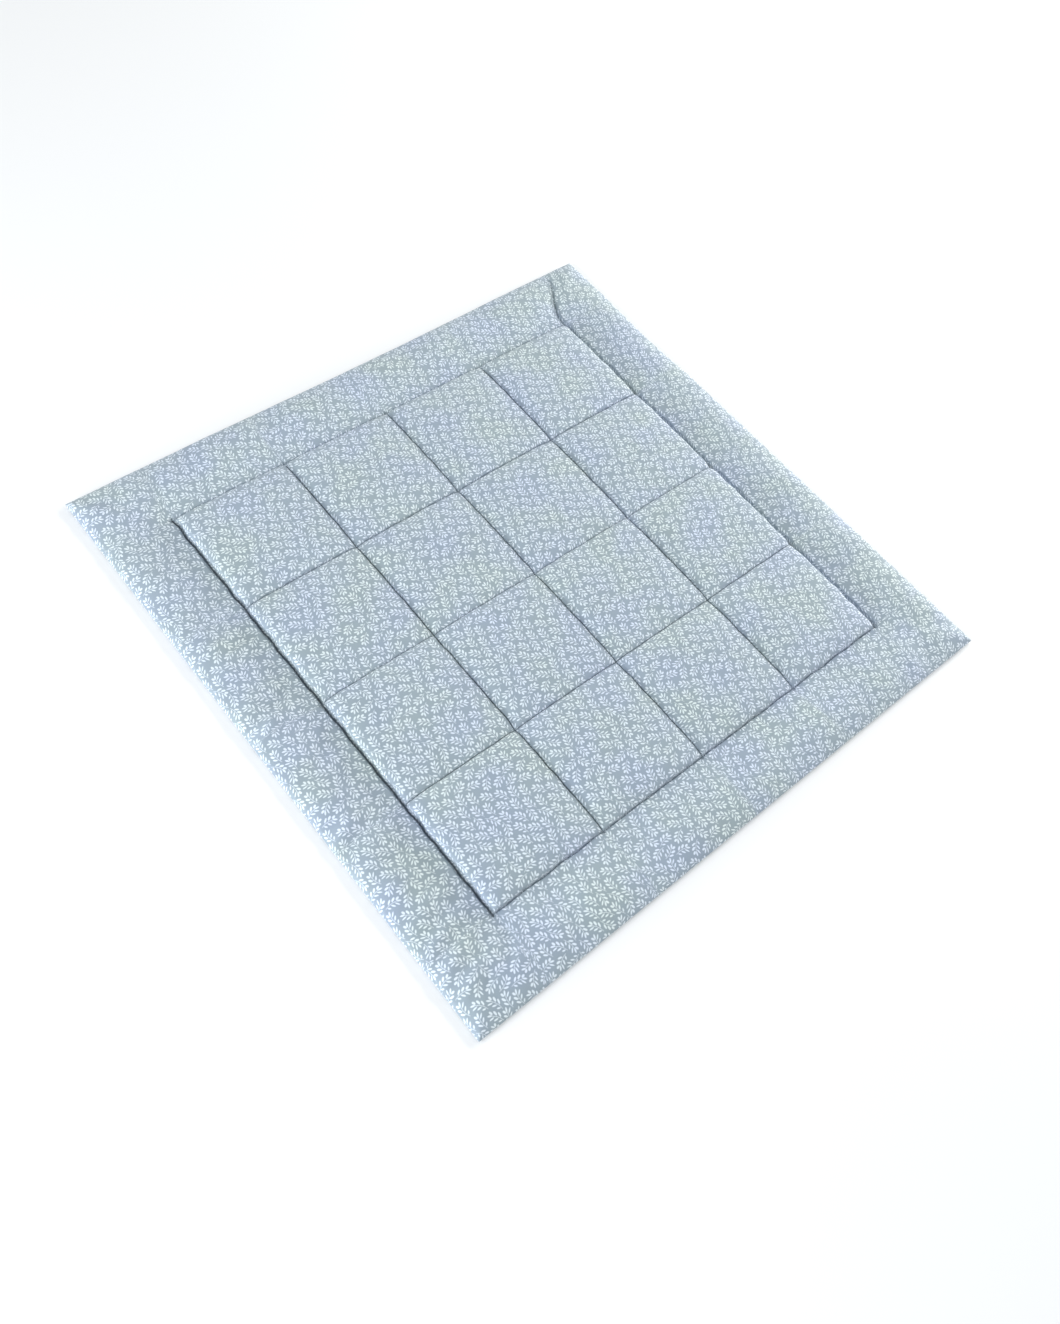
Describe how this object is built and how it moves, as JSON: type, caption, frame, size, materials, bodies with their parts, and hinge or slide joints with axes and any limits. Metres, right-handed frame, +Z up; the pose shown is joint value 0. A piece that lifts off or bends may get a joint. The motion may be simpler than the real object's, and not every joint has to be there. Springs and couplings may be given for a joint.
{
  "type": "quilted baby play mat",
  "caption": "Square padded play mat of printed cotton lying flat: a grid of quilted panels inside a frame seam, with a wide padded border and a turned edge.",
  "frame": {"origin": "middle of the footprint, on the floor that the mat lies on", "axes": "+Z up, out of the mat's face; +X and +Y along the mat's sides, parallel to the quilting seams"},
  "size_m": [1.004, 1.01, 0.021],
  "materials": {
    "printed_cotton": "matt woven cotton, grey-blue with small white leaf sprigs"
  },
  "bodies": {
    "root": {"quilted_mat": "printed_cotton"}
  },
  "joints": []
}
